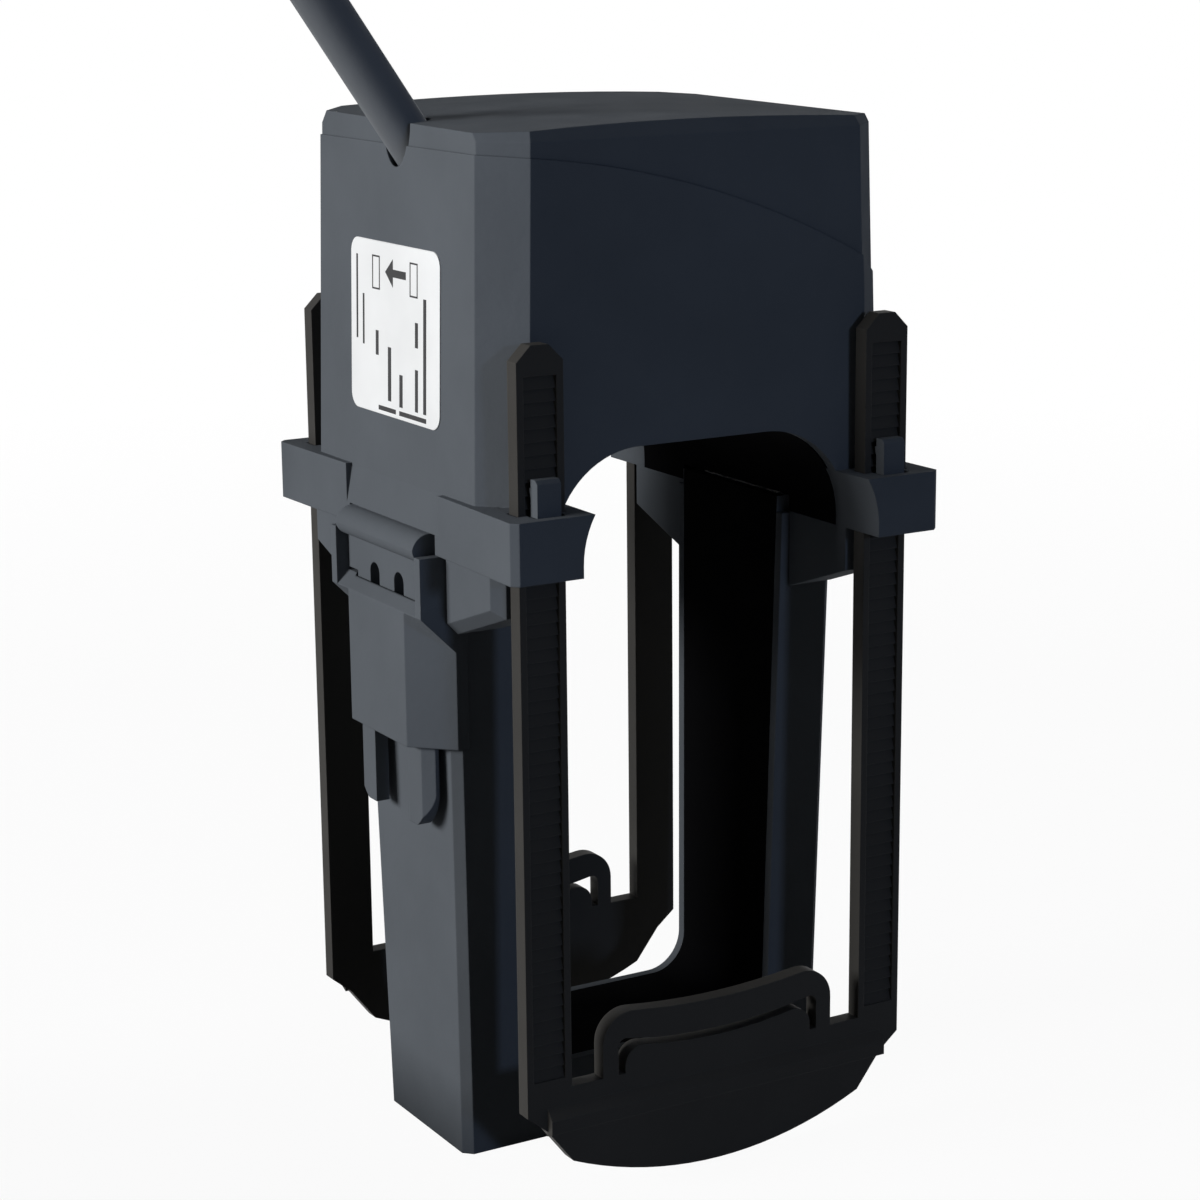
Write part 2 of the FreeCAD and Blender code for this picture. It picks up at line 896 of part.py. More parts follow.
def make_springs():
    """Two bowed leaf springs that press the lower core against the upper one."""
    floor_level = casing_bottom_z + casing_floor
    top_z = lower_bar_top_z - core_thickness
    thickness = Vector(0, 0, spring_thickness)
    for name, side in (("core_spring_left", -1), ("core_spring_right", 1)):
        left_end = Vector(side * spring_x - spring_half_length, -spring_half_y, floor_level)
        middle = Vector(side * spring_x, -spring_half_y, top_z - spring_thickness)
        right_end = Vector(side * spring_x + spring_half_length, -spring_half_y, floor_level)
        edges = [
            arc(left_end, middle, right_end),
            line(right_end, right_end + thickness),
            arc(right_end + thickness, middle + thickness, left_end + thickness),
            line(left_end + thickness, left_end),
        ]
        parts[name] = Part.Face(Part.Wire(edges)).extrude(Vector(0, 2 * spring_half_y, 0))


def tooth_cutter():
    """Cuts one strap's toothed groove: every tooth has a flat lower side and a sloping upper one."""
    face_y = strap_outer_y + overcut
    crest_y = strap_outer_y - tooth_crest_depth
    root_y = strap_outer_y - tooth_floor_depth
    points = [(face_y, tooth_top_z), (root_y, tooth_top_z)]
    for number in range(1, tooth_count + 1):
        z = tooth_top_z - number * tooth_pitch
        points.append((crest_y, z))
        points.append((root_y, z))
    points.pop()
    points.append((face_y, tooth_top_z - tooth_count * tooth_pitch))
    return prism_yz(points, strap_inner_x + rail_width, strap_outer_x - rail_width)


def frame_plate():
    """The cross plate below the straps, with its rounded lower edge."""

    def at(x, z):
        return Vector(x, strap_inner_y, z)

    edges = [
        arc(at(-plate_corner_x, plate_corner_z), at(0, plate_bottom_z), at(plate_corner_x, plate_corner_z)),
        line(at(plate_corner_x, plate_corner_z), at(plate_notch_x, plate_notch_z)),
        line(at(plate_notch_x, plate_notch_z), at(strap_outer_x, plate_side_z)),
        line(at(strap_outer_x, plate_side_z), at(strap_outer_x, plate_top_z)),
        line(at(strap_outer_x, plate_top_z), at(-strap_outer_x, plate_top_z)),
        line(at(-strap_outer_x, plate_top_z), at(-strap_outer_x, plate_side_z)),
        line(at(-strap_outer_x, plate_side_z), at(-plate_notch_x, plate_notch_z)),
        line(at(-plate_notch_x, plate_notch_z), at(-plate_corner_x, plate_corner_z)),
    ]
    return Part.Face(Part.Wire(edges)).extrude(Vector(0, frame_thickness, 0))


def sagging_plate(half_x, corner_z, corner_r):
    """A plate standing on the cross plate, whose top edge dips in the middle."""

    def at(x, z):
        return Vector(x, strap_inner_y, z)

    edges = [
        arc(at(-half_x, corner_z), at(0, corner_z - loop_sag), at(half_x, corner_z)),
        line(at(half_x, corner_z), at(half_x, plate_top_z)),
        line(at(half_x, plate_top_z), at(-half_x, plate_top_z)),
        line(at(-half_x, plate_top_z), at(-half_x, corner_z)),
    ]
    shape = Part.Face(Part.Wire(edges)).extrude(Vector(0, frame_thickness, 0))

    def at_top_corner(point):
        return abs(abs(point.x) - half_x) < 0.01 and abs(point.z - corner_z) < 0.01

    return round_edges(shape, corner_r, at_top_corner)


def ratchet_frame():
    """One clamping frame on the +Y side: two toothed straps, cross plate, spring loop and rib."""
    strap = prism_xz(
        [
            (strap_inner_x, plate_top_z),
            (strap_outer_x, plate_top_z),
            (strap_outer_x, strap_top_z - strap_chamfer),
            (strap_outer_x - strap_chamfer, strap_top_z),
            (strap_inner_x + strap_chamfer, strap_top_z),
            (strap_inner_x, strap_top_z - strap_chamfer),
        ],
        strap_inner_y,
        strap_outer_y,
    )
    frame = frame_plate().fuse(both_x(strap.cut(tooth_cutter())))
    slot_outer_x = loop_half_x - loop_leg
    loop = sagging_plate(loop_half_x, loop_top_z, loop_corner_r)
    loop = loop.cut(sagging_plate(slot_outer_x, loop_top_z - loop_band, loop_slot))
    tongue = sagging_plate(slot_outer_x - loop_slot, loop_top_z - loop_band - loop_slot, plate_tongue_r)
    frame = frame.fuse(loop).fuse(tongue)
    rib = [
        (strap_outer_y - rib_root_depth, rib_top_z + rib_proud),
        (strap_outer_y + rib_proud, rib_top_z - rib_proud / 2),
        (strap_outer_y + rib_proud, rib_bottom_z),
        (strap_outer_y - rib_root_depth, rib_bottom_z - rib_proud / 2),
    ]
    frame = frame.fuse(prism_yz(rib, -rib_half_x, rib_half_x))
    return frame.removeSplitter()


def make_ratchet_frames():
    back = ratchet_frame()
    parts["back_ratchet_frame"] = back
    parts["front_ratchet_frame"] = flip_y(back)


def tube(points, radius):
    """A round tube along straight runs joined by tangent arcs as large as the runs allow."""
    edges = []
    start = points[0]
    length = 0.0
    radii = []
    for before, corner, after in zip(points[:-2], points[1:-1], points[2:]):
        back = before - corner
        ahead = after - corner
        turn = math.pi - back.getAngle(ahead)
        reach = route_radius_share * min(back.Length, ahead.Length)
        bend_r = reach / math.tan(turn / 2)
        radii.append(round(bend_r, 1))
        back.normalize()
        ahead.normalize()
        enter = corner + back * reach
        leave = corner + ahead * reach
        inward = back + ahead
        inward.normalize()
        middle = corner + inward * (bend_r / math.cos(turn / 2) - bend_r)
        edges.append(line(start, enter))
        edges.append(arc(enter, middle, leave))
        length += (enter - start).Length + bend_r * turn
        start = leave
    edges.append(line(start, points[-1]))
    length += (points[-1] - start).Length
    first = points[1] - points[0]
    section = Part.Wire([Part.makeCircle(radius, points[0], first)])
    solid = Part.Wire(edges).makePipeShell([section], True, False)
    print("bend radii", radii, "length", round(length, 1))
    print("volume", round(solid.Volume), "section times length", round(math.pi * radius**2 * length))
    return solid


def make_output_cable():
    """The cable arches over, hangs down and is laid into the top turn of its coil."""
    tilt = math.radians(cable_tilt_deg)
    direction = Vector(-math.sin(tilt), 0, math.cos(tilt))
    exit_point = Vector(cable_exit_x, 0, cable_exit_z)
    top_turn_z = floor_z + coil_height - cable_r
    side_x = coil_x + outer_turn_r
    route = [
        exit_point - direction * cable_inner_length,
        exit_point + direction * cable_rise,
        Vector(-88.0, 28.5, 123.0),
        Vector(-101.5, 56.3, 96.0),
        Vector(-95.0, 56.0, 52.0),
        Vector(-92.9, 56.2, 22.0),
        Vector(side_x, coil_y + 46.0, top_turn_z + 26.0),
        Vector(side_x, coil_y + 36.5, top_turn_z + 9.5),
        Vector(side_x, coil_y + 20.0, top_turn_z),
        Vector(side_x, coil_y + 1.0, top_turn_z),
    ]
    parts["output_cable"] = tube(route, cable_r)


def make_cable_coil():
    """The coiled cable on the floor, as one ring with cut edges."""
    centre = Vector(coil_x, coil_y, floor_z)
    ring = Part.makeCylinder(coil_outer_r, coil_height, centre)
    ring = ring.cut(Part.makeCylinder(coil_inner_r, coil_height, centre))
    edges = [edge for edge in ring.Edges if isinstance(edge.Curve, Part.Circle)]
    tangent_cut = (2 - math.sqrt(2)) * cable_r
    parts["cable_coil"] = ring.makeChamfer(tangent_cut, edges)


def make_cable_end():
    """The loose end on the floor: sheath, two cores and their ferrules."""
    axis_z = floor_z + cable_r
    along = Vector(1, 0, 0)
    tail_start = Vector(tail_start_x, tail_y, axis_z)
    sheath_end = tail_start + along * tail_length
    parts["cable_tail"] = Part.makeCylinder(cable_r, tail_length, tail_start, along)
    ferrules = []
    for name, side in (("core_brown", -1), ("core_blue", 1)):
        start = sheath_end + Vector(0, side * (end_core_r + end_core_gap), 0)
        aim = Vector(end_core_length, side * end_core_splay, end_core_r - cable_r)
        parts[name] = Part.makeCylinder(end_core_r, end_core_length, start, aim)
        aim.normalize()
        ferrules.append(Part.makeCylinder(ferrule_r, ferrule_length, start + aim * end_core_length, aim))
    parts["core_ferrules"] = Part.makeCompound(ferrules)


def make_cable_tie():
    """Plastic tie drawn tight on the cable inside the housing, so that it can't be pulled out."""
    start = tie_end_gap - cable_inner_length
    strap = cable_cylinder(cable_r + tie_radial, start, tie_width)
    tilt = math.radians(cable_tilt_deg)
    head = box(0, tie_head + cable_r, -tie_head / 2, tie_head / 2, 0, tie_width)
    head.rotate(Vector(0, 0, 0), Vector(0, 1, 0), -math.degrees(tilt))
    direction = Vector(-math.sin(tilt), 0, math.cos(tilt))
    head.translate(Vector(cable_exit_x, 0, cable_exit_z) + direction * start)
    tie = strap.fuse(head).cut(cable_cylinder(cable_r, start - overcut, tie_width + 2 * overcut))
    parts["cable_tie"] = tie.removeSplitter()


def make_inner_leads():
    """The winding's two ends, led over the flange and into the cable."""
    tilt = math.radians(cable_tilt_deg)
    direction = Vector(-math.sin(tilt), 0, math.cos(tilt))
    inner_end = Vector(cable_exit_x, 0, cable_exit_z) - direction * cable_inner_length
    flange_top_z = 2 * upper_bar_z + core_thickness - arch_top_z - arch_liner_wall - flange_seat
    tube_top_z = upper_bar_z + core_thickness + core_clearance + bobbin_wall
    wound_top_z = tube_top_z + winding_height + tape_thickness
    run_z = flange_top_z + 2 * lead_radius
    drop_x = -bobbin_half_x + 2 * flange_thickness + lead_radius
    for name, side in (("lead_brown", -1), ("lead_blue", 1)):
        y = side * lead_offset_y
        start = inner_end + Vector(0, y, 0)
        bend = start - direction * lead_straight
        bend.z = run_z
        over = Vector(drop_x, y, run_z)
        down = Vector(drop_x, y, wound_top_z)
        parts[name] = bent_wire([start, bend, over, down], lead_radius)


def bent_wire(points, radius):
    """A thin wire of straight pieces with ball joints at the bends."""
    wire = None
    for a, b in zip(points[:-1], points[1:]):
        piece = Part.makeCylinder(radius, (b - a).Length, a, b - a)
        wire = piece if wire is None else wire.fuse(piece)
    for corner in points[1:-1]:
        wire = wire.fuse(Part.makeSphere(radius, corner))
    return wire


make_upper_housing()
make_top_cover()
make_rating_label()
make_arch_liner()
make_cores()
make_winding()
make_cable_tie()
make_inner_leads()
make_output_cable()
make_cable_coil()
make_cable_end()
make_lower_casing()
make_lower_liner()
make_springs()
make_ratchet_frames()

os.makedirs("parts", exist_ok=True)
for name, shape in parts.items():
    shape.exportStep("parts/" + name + ".step")
    print(name, len(shape.Solids), shape.isValid(), round(shape.Volume, 1))
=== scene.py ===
import math

import bmesh
import bpy
from mathutils import Matrix, Vector


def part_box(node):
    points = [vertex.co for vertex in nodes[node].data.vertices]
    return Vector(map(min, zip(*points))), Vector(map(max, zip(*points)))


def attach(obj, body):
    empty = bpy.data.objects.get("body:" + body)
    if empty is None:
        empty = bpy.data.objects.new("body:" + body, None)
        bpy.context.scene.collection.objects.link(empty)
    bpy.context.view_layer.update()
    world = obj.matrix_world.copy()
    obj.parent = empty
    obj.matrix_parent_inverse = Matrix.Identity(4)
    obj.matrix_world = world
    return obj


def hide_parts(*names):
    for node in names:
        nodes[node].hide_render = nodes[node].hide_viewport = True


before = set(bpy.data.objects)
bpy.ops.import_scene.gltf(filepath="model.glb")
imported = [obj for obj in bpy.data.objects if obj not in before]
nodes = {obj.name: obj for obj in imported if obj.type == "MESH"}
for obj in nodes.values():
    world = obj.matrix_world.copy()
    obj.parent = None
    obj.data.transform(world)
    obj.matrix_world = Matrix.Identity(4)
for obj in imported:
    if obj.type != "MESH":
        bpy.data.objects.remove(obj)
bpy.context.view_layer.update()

scene = bpy.context.scene

# The camera stands to the left of the transformer, a little above it, as for a catalogue picture.
# Its place and lens were worked out from the straight edges of the housing and of the straps.
camera_eye = Vector((-0.1915, -0.3290, 0.1074))
camera_azimuth = math.radians(-30.208)
camera_elevation = math.radians(13.3585)
camera_roll = math.radians(-0.5507)
camera_lens = 85.99

camera_data = bpy.data.cameras.new("catalogue_camera")
camera_data.lens = camera_lens
camera_data.sensor_width = 36
camera_data.clip_start = 0.02
camera_data.clip_end = 50
camera = bpy.data.objects.new("catalogue_camera", camera_data)
scene.collection.objects.link(camera)
turn = Matrix.Rotation(camera_azimuth, 4, "Z") @ Matrix.Rotation(math.pi / 2 - camera_elevation, 4, "X")
camera.matrix_world = Matrix.Translation(camera_eye) @ turn @ Matrix.Rotation(camera_roll, 4, "Z")
scene.camera = camera
scene.view_settings.view_transform = "Standard"


# The split core is two U shapes of wound strip steel, which meet inside the legs. The lower one rests on
# two bowed leaf springs, stamped from spring steel, which press it against the upper one.
def add_noise(tree, vector, scale, detail, roughness=0.5):
    """Adds noise over the whole piece, finer for a larger scale, and returns its value."""
    noise = tree.nodes.new("ShaderNodeTexNoise")
    noise.inputs["Scale"].default_value = scale
    noise.inputs["Detail"].default_value = detail
    noise.inputs["Roughness"].default_value = roughness
    tree.links.new(vector, noise.inputs["Vector"])
    return noise.outputs["Fac"]


def add_range(tree, value, from_low, from_high, to_low, to_high):
    """Adds a straight change from one range of values to another, held at its ends."""
    ramp = tree.nodes.new("ShaderNodeMapRange")
    ramp.inputs["From Min"].default_value = from_low
    ramp.inputs["From Max"].default_value = from_high
    ramp.inputs["To Min"].default_value = to_low
    ramp.inputs["To Max"].default_value = to_high
    tree.links.new(value, ramp.inputs["Value"])
    return ramp.outputs["Result"]


def add_mix(tree, share, second_colour):
    """Adds a mix of two colours, all of the second where the share is 1. Its first one is still to be set."""
    mix = tree.nodes.new("ShaderNodeMix")
    mix.data_type = "RGBA"
    mix.inputs["B"].default_value = (*second_colour, 1)
    tree.links.new(share, mix.inputs["Factor"])
    return mix


def bare_metal(name, colour, roughness, streak_scale):
    """Bare metal with drawn or rolled streaks, long where their scale is small, and an uneven shine."""
    streak_fineness = 400
    streak_depth = 0.00001
    dark_streak = 0.8
    shine_spread = 0.1

    material = bpy.data.materials.new(name)
    material.use_nodes = True
    tree = material.node_tree
    link = tree.links.new
    shader = tree.nodes["Principled BSDF"]
    shader.inputs["Metallic"].default_value = 1
    place = tree.nodes.new("ShaderNodeTexCoord")
    stretch = tree.nodes.new("ShaderNodeMapping")
    stretch.inputs["Scale"].default_value = streak_scale
    link(place.outputs["Object"], stretch.inputs["Vector"])
    streaks = add_noise(tree, stretch.outputs["Vector"], streak_fineness, detail=3)

    tone = add_mix(tree, streaks, colour)
    tone.inputs["A"].default_value = (*[part * dark_streak for part in colour], 1)
    link(tone.outputs["Result"], shader.inputs["Base Color"])
    shine = add_range(tree, streaks, 0, 1, roughness - shine_spread, roughness + shine_spread)
    link(shine, shader.inputs["Roughness"])
    bump = tree.nodes.new("ShaderNodeBump")
    bump.inputs["Distance"].default_value = streak_depth
    link(streaks, bump.inputs["Height"])
    link(bump.outputs["Normal"], shader.inputs["Normal"])
    return material


def finish_node(name, material):
    """Gives a part that is carried over from the frame its finish."""
    mesh = nodes[name].data
    mesh.materials.clear()
    mesh.materials.append(material)


core_steel = bare_metal("core_strip_steel", (0.42, 0.42, 0.43), roughness=0.4, streak_scale=(1, 0.04, 1))
finish_node("upper_core", core_steel)
finish_node("lower_core", core_steel)

spring_steel = bare_metal("spring_steel", (0.52, 0.52, 0.53), roughness=0.3, streak_scale=(0.1, 1, 1))
finish_node("core_spring_left", spring_steel)
finish_node("core_spring_right", spring_steel)


# The winding is enamelled copper wire on a bobbin of undyed plastic, which slides over the core's upper
# bar, with yellow film tape round it. Its two ends are insulated leads, one brown and one blue, which go
# up into the cable.
def moulded_plastic(name, colour, roughness, grain_scale, grain_depth, specular, wear_and_rim_highlight, edge_radius=0.0002):
    """Moulded plastic with a fine grain, a slightly cloudy tone and gloss, and paler edges that are partly
    rubbed wear and partly a painted highlight along the rims.
    """
    noise_roughness = 0.6
    noise_low = 0.3
    noise_high = 0.7
    cloud_scale = 45
    cloud_dark = 0.93
    cloud_light = 1.07
    gloss_scale = 160
    gloss_spread = 0.05
    facing_on_flats = 0.995
    facing_on_edges = 0.85
    wear_and_highlight_gain = 2.2
    wear_and_highlight_lift = 0.01

    material = bpy.data.materials.new(name)
    material.use_nodes = True
    tree = material.node_tree
    link = tree.links.new
    shader = tree.nodes["Principled BSDF"]
    shader.inputs["Specular IOR Level"].default_value = specular
    place = tree.nodes.new("ShaderNodeTexCoord").outputs["Object"]

    clouds = add_noise(tree, place, cloud_scale, 3, noise_roughness)
    cloud_share = add_range(tree, clouds, noise_low, noise_high, 0, 1)
    tone = add_mix(tree, cloud_share, [part * cloud_light for part in colour])
    tone.inputs["A"].default_value = (*[part * cloud_dark for part in colour], 1)

    rounded = tree.nodes.new("ShaderNodeBevel")
    rounded.samples = 4
    rounded.inputs["Radius"].default_value = edge_radius
    face = tree.nodes.new("ShaderNodeNewGeometry")
    facing = tree.nodes.new("ShaderNodeVectorMath")
    facing.operation = "DOT_PRODUCT"
    link(rounded.outputs["Normal"], facing.inputs[0])
    link(face.outputs["Normal"], facing.inputs[1])
    # Where the rounded normal turns away from the flat one, the colour is made paler: partly rubbed wear,
    # partly a painted highlight along the rounded rims.
    edge_wear_and_highlight_share = add_range(tree, facing.outputs["Value"], facing_on_flats, facing_on_edges, 0, wear_and_rim_highlight)
    wear_and_highlight_edges = add_mix(tree, edge_wear_and_highlight_share, [min(1.0, part * wear_and_highlight_gain + wear_and_highlight_lift) for part in colour])
    link(tone.outputs["Result"], wear_and_highlight_edges.inputs["A"])
    link(wear_and_highlight_edges.outputs["Result"], shader.inputs["Base Color"])

    gloss = add_noise(tree, place, gloss_scale, 4, noise_roughness)
    gloss_low = roughness - gloss_spread
    gloss_high = roughness + gloss_spread
    link(add_range(tree, gloss, noise_low, noise_high, gloss_low, gloss_high), shader.inputs["Roughness"])

    bump = tree.nodes.new("ShaderNodeBump")
    bump.inputs["Strength"].default_value = 1
    bump.inputs["Distance"].default_value = grain_depth
    link(add_noise(tree, place, grain_scale, 2, noise_roughness), bump.inputs["Height"])
    link(rounded.outputs["Normal"], bump.inputs["Normal"])
    link(bump.outputs["Normal"], shader.inputs["Normal"])
    return material


finish_node("secondary_winding", bare_metal("enamelled_copper", (0.66, 0.30, 0.15), 0.35, (6, 0.1, 0.1)))

natural_plastic = moulded_plastic(
    "natural_plastic",
    colour=(0.66, 0.64, 0.58),
    roughness=0.5,
    grain_scale=700,
    grain_depth=0.00003,
    specular=0.4,
    wear_and_rim_highlight=0.1,
)
finish_node("winding_bobbin", natural_plastic)

yellow_tape = moulded_plastic(
    "yellow_film_tape",
    colour=(0.70, 0.55, 0.10),
    roughness=0.25,
    grain_scale=300,
    grain_depth=0.00005,
    specular=0.5,
    wear_and_rim_highlight=0.0,
)
finish_node("winding_tape", yellow_tape)


def insulation(name, colour):
    """Smooth extruded insulation of a single wire."""
    return moulded_plastic(
        name,
        colour,
        roughness=0.4,
        grain_scale=1500,
        grain_depth=0.00002,
        specular=0.4,
        wear_and_rim_highlight=0.0,
    )


brown_insulation = insulation("brown_insulation", (0.17, 0.065, 0.025))
blue_insulation = insulation("blue_insulation", (0.03, 0.11, 0.42))
finish_node("lead_brown", brown_insulation)
finish_node("lead_blue", blue_insulation)

# The output cable is a round two-core lead in a smooth grey sheath. It comes out of the cover's corner,
# arches over and hangs down beside the transformer, and its long end is wound into a coil of almost
# twelve turns, three side by side and four deep. A tie inside the cover takes the pull on it.
cable_diameter = 0.0062
cable_r = cable_diameter / 2
cable_tilt = math.radians(34.3)
cable_exit = Vector((-0.0284, 0, 0.0823))
cable_inner_length = 0.011
cable_straight = 0.006
cable_rise = 0.037
coil_centre = Vector((-0.1335, 0.0103))
coil_mean_r = 0.0350
coil_wide = 3
coil_layers = 4
coil_full_turns = 11.75
points_per_turn = 24
crossing_share = 0.2
tail_start_x = -0.1200
tail_end_x = -0.1070
floor_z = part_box("lower_casing")[0].z

exit_direction = Vector((-math.sin(cable_tilt), 0, math.cos(cable_tilt)))
top_layer_z = floor_z + coil_layers * cable_diameter - cable_r
outer_turn_r = coil_mean_r + cable_diameter
side_x = coil_centre.x + outer_turn_r
spline_points = [
    cable_exit - exit_direction * cable_inner_length,
    cable_exit + exit_direction * cable_straight,
    cable_exit + exit_direction * cable_rise,
    Vector((-0.0880, 0.0285, 0.1230)),
    Vector((-0.1015, 0.0563, 0.0960)),
    Vector((-0.0950, 0.0560, 0.0520)),
    Vector((-0.0929, 0.0562, 0.0220)),
    Vector((side_x, coil_centre.y + 0.0460, top_layer_z + 0.0260)),
    Vector((side_x, coil_centre.y + 0.0365, top_layer_z + 0.0095)),
    Vector((side_x, coil_centre.y + 0.0200, top_layer_z)),
]


def coil_lane(number):
    """Radius and height of the coil's lanes in turn: in through one layer, out through the next one down."""
    layer, place = divmod(number, coil_wide)
    if layer % 2:
        place = coil_wide - 1 - place
    return outer_turn_r - place * cable_diameter, top_layer_z - layer * cable_diameter


def coil_place(turns):
    """Radius and height of the cable after so many turns. It changes lanes in the last part of a turn."""
    last_lane = coil_layers * coil_wide - 1
    number = min(int(turns), last_lane)
    into = max(0.0, turns - number - (1 - crossing_share)) / crossing_share
    ease = into * into * (3 - 2 * into)
    radius, height = coil_lane(number)
    next_radius, next_height = coil_lane(min(number + 1, last_lane))
    return radius + (next_radius - radius) * ease, height + (next_height - height) * ease


# The spline runs inside its control points, so those of the coil lie this much further out.
control_gain = 1 / (0.75 + 0.25 * math.cos(2 * math.pi / points_per_turn))
for number in range(round(coil_full_turns * points_per_turn) + 1):
    turns = number / points_per_turn
    radius, height = coil_place(turns)
    angle = -2 * math.pi * turns
    reach = radius * control_gain
    x = coil_centre.x + reach * math.cos(angle)
    y = coil_centre.y + reach * math.sin(angle)
    spline_points.append(Vector((x, y, height)))
tail_y = spline_points[-1].y
spline_points.append(Vector((tail_start_x, tail_y, floor_z + cable_r)))
spline_points.append(Vector((tail_end_x, tail_y, floor_z + cable_r)))

cable_curve = bpy.data.curves.new("output_cable_sheath", "CURVE")
cable_curve.dimensions = "3D"
cable_curve.bevel_depth = cable_r
cable_curve.bevel_resolution = 5
cable_curve.resolution_u = 5
cable_curve.use_fill_caps = True
spline = cable_curve.splines.new("NURBS")
spline.points.add(len(spline_points) - 1)
for point, place in zip(spline.points, spline_points):
    point.co = (place.x, place.y, place.z, 1)
spline.order_u = 3
spline.use_endpoint_u = True
output_cable = bpy.data.objects.new("cable_sheath", cable_curve)
scene.collection.objects.link(output_cable)

sheath_grey = moulded_plastic(
    "cable_sheath_grey",
    colour=(0.152, 0.163, 0.177),
    roughness=0.60,
    grain_scale=900,
    grain_depth=0.00003,
    specular=0.06,
    wear_and_rim_highlight=0.0,
)
cable_curve.materials.append(sheath_grey)
finish_node("cable_tie", natural_plastic)
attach(output_cable, "upper_half")
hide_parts("output_cable", "cable_coil", "cable_tail")

# At its end the cable is stripped back to its brown and blue cores, ready for a meter's terminals.
# Each core ends in a ferrule, a thin sleeve of tinned copper that is crimped on the wire.
tinned_copper = bare_metal("tinned_copper", (0.72, 0.71, 0.68), roughness=0.35, streak_scale=(0.2, 1, 1))
finish_node("core_brown", brown_insulation)
finish_node("core_blue", blue_insulation)
finish_node("core_ferrules", tinned_copper)

# The upper housing and its cap are injection moulded in anthracite grey polyamide with a fine eroded
# grain. The housing carries the arch, the guide lugs with their pawls and the snap tongue on the left in
# one moulding, and the cap is welded on along the curved joint.
# Its paler edges are partly wear and partly a painted highlight along the rims.
housing_grey = moulded_plastic(
    "anthracite_housing",
    colour=(0.105, 0.116, 0.130),
    roughness=0.80,
    grain_scale=700,
    grain_depth=0.00004,
    specular=0.04,
    wear_and_rim_highlight=0.14,
    edge_radius=0.0003,
)
finish_node("upper_housing", housing_grey)
finish_node("top_cover", housing_grey)

# The rating label is a white polyester film stuck on the left narrow side. It carries plain bars, two
# empty frames and an arrow that points along the conductor, as thin layers of black ink.
label_thickness = 0.00015
housing_draft = 0.0268
ink_thickness = 0.00003
ink_sunk = 0.00002
millimetre = 0.001

label_white = moulded_plastic(
    "label_film",
    colour=(0.86, 0.87, 0.875),
    roughness=0.4,
    grain_scale=400,
    grain_depth=0.00001,
    specular=0.35,
    wear_and_rim_highlight=0.0,
)
finish_node("rating_label", label_white)

label_low, label_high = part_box("rating_label")
label_face_x = (label_low.x + label_high.x - label_thickness) / 2
label_middle_y = (label_low.y + label_high.y) / 2
label_middle_z = (label_low.z + label_high.z) / 2
ink_mesh = bmesh.new()


def ink_shape(outline):
    """A flat closed shape of ink. Its points count from the label's middle, in millimetres along and up."""
    rows = []
    for proud in (-ink_sunk, ink_thickness):
        row = []
        for along, up in outline:
            x = label_face_x + up * millimetre * housing_draft - proud
            y = label_middle_y + along * millimetre
            z = label_middle_z + up * millimetre
            row.append(ink_mesh.verts.new((x, y, z)))
        rows.append(row)
    back, front = rows
    ink_mesh.faces.new(front)
    ink_mesh.faces.new(list(reversed(back)))
    for number in range(len(outline)):
        after = (number + 1) % len(outline)
        ink_mesh.faces.new((back[number], back[after], front[after], front[number]))


def ink_bar(left, right, foot, head):
    ink_shape([(left, foot), (right, foot), (right, head), (left, head)])


def ink_frame(left, right, foot, head, stroke):
    ink_bar(left, left + stroke, foot, head)
    ink_bar(right - stroke, right, foot, head)
    ink_bar(left + stroke, right - stroke, foot, foot + stroke)
    ink_bar(left + stroke, right - stroke, head - stroke, head)


# Each upright bar's middle, foot, head and width, counted as in ink_shape.
upright_bars = (
    (10.9, -2.0, 9.0, 0.45),
    (9.0, -2.6, 4.0, 0.45),
    (5.0, -3.6, -0.4, 0.80),
    (1.4, -9.2, -2.2, 0.90),
    (-1.9, -9.6, -5.4, 0.90),
    (-6.3, -9.6, -4.2, 0.80),
    (-6.3, -1.4, 1.8, 0.80),
    (-8.6, -9.6, 5.0, 0.80),
)
for middle, foot, head, width in upright_bars:
    ink_bar(middle - width / 2, middle + width / 2, foot, head)
for left, right in ((4.2, 6.4), (-6.6, -4.4)):
    ink_frame(left, right, foot=4.9, head=9.3, stroke=0.22)
for left, right in ((-9.0, -1.4), (-0.4, 4.6)):
    ink_bar(left, right, foot=-10.7, head=-10.1)
ink_shape([(-3.3, 6.9), (0.4, 6.9), (0.4, 5.6), (2.6, 7.4), (0.4, 9.2), (0.4, 7.9), (-3.3, 7.9)])
bmesh.ops.recalc_face_normals(ink_mesh, faces=ink_mesh.faces)
ink_data = bpy.data.meshes.new("label_marks")
ink_mesh.to_mesh(ink_data)
ink_mesh.free()

ink_black = moulded_plastic(
    "label_ink",
    colour=(0.018, 0.018, 0.020),
    roughness=0.45,
    grain_scale=900,
    grain_depth=0.00001,
    specular=0.3,
    wear_and_rim_highlight=0.0,
)
ink_data.materials.append(ink_black)
label_marks = bpy.data.objects.new("label_marks", ink_data)
scene.collection.objects.link(label_marks)
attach(label_marks, "upper_half")

# The lower half is a U casing of the same plastic, with a boss and two ears on its left leg that take
# the snap tongue. It is pulled off downwards.
finish_node("lower_casing", housing_grey)

# Black linings insulate the conductor from the core: one under the arch and one in the U window.
# They are smooth, dull black mouldings, sunk between the rims of the grey shells. Their black is set
# so deep and so dull that it also paints the shade inside the arch and the window.
lining_black_and_painted_shade = moulded_plastic(
    "lining_black_and_painted_shade",
    colour=(0.004, 0.004, 0.0045),
    roughness=0.8,
    grain_scale=500,
    grain_depth=0.00003,
    specular=0.003,
    wear_and_rim_highlight=0.1,
)
finish_node("arch_liner", lining_black_and_painted_shade)
finish_node("lower_liner", lining_black_and_painted_shade)

